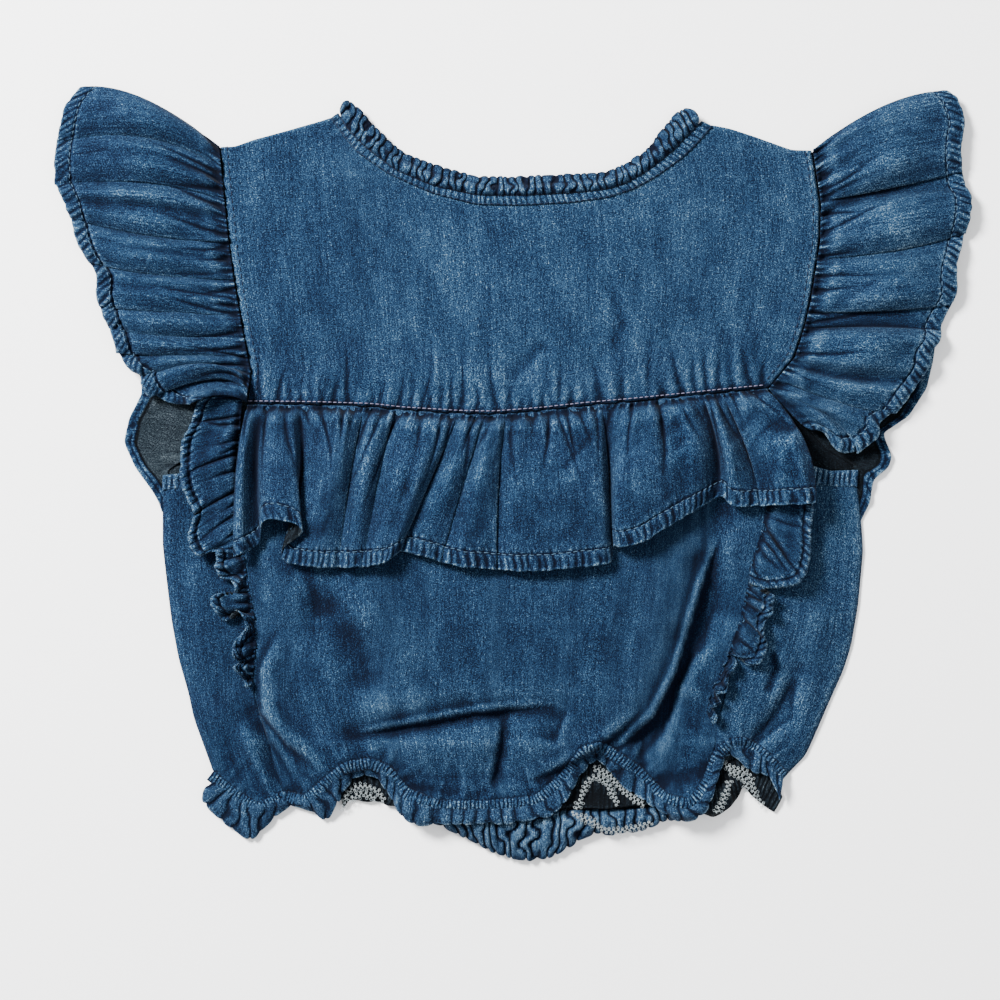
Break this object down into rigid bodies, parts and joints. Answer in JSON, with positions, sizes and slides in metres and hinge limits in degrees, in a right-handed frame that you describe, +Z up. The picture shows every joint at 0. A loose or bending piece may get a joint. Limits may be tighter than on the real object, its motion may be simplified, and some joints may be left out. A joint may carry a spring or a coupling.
{
  "type": "baby blouse",
  "caption": "Sleeveless denim baby blouse laid flat: gathered neck frill, shoulder flounces running down the princess seams, ruffle on the yoke seam, puffed body, frilled elastic hem.",
  "frame": {"origin": "middle of the plan, on the surface that the blouse lies on", "axes": "+X to the right in the picture (the wearer's left), +Y towards the neck, +Z up from the surface"},
  "size_m": [0.3764, 0.3168, 0.0161],
  "materials": {
    "denim": "washed mid-blue chambray, matt",
    "denim_worn": "washed chambray, worn pale along hems, matt",
    "denim_inside": "grey-blue wrong side of the chambray, matt"
  },
  "bodies": {
    "root": {"back_flounce_left": "denim_inside", "back_flounce_right": "denim_inside", "back_panel": "denim_inside", "flounce_left": "denim", "flounce_right": "denim", "front_center": "denim", "front_side_left": "denim", "front_side_right": "denim", "front_yoke": "denim", "hem_casing_back": "denim_inside", "hem_casing_front": "denim", "hem_frill_back": "denim_worn", "hem_frill_front": "denim_worn", "neck_binding": "denim", "neck_frill": "denim", "seam_ruffle_left": "denim", "seam_ruffle_right": "denim", "underarm_binding_left": "denim_worn", "underarm_binding_right": "denim_worn", "yoke_ruffle": "denim"}
  },
  "joints": []
}
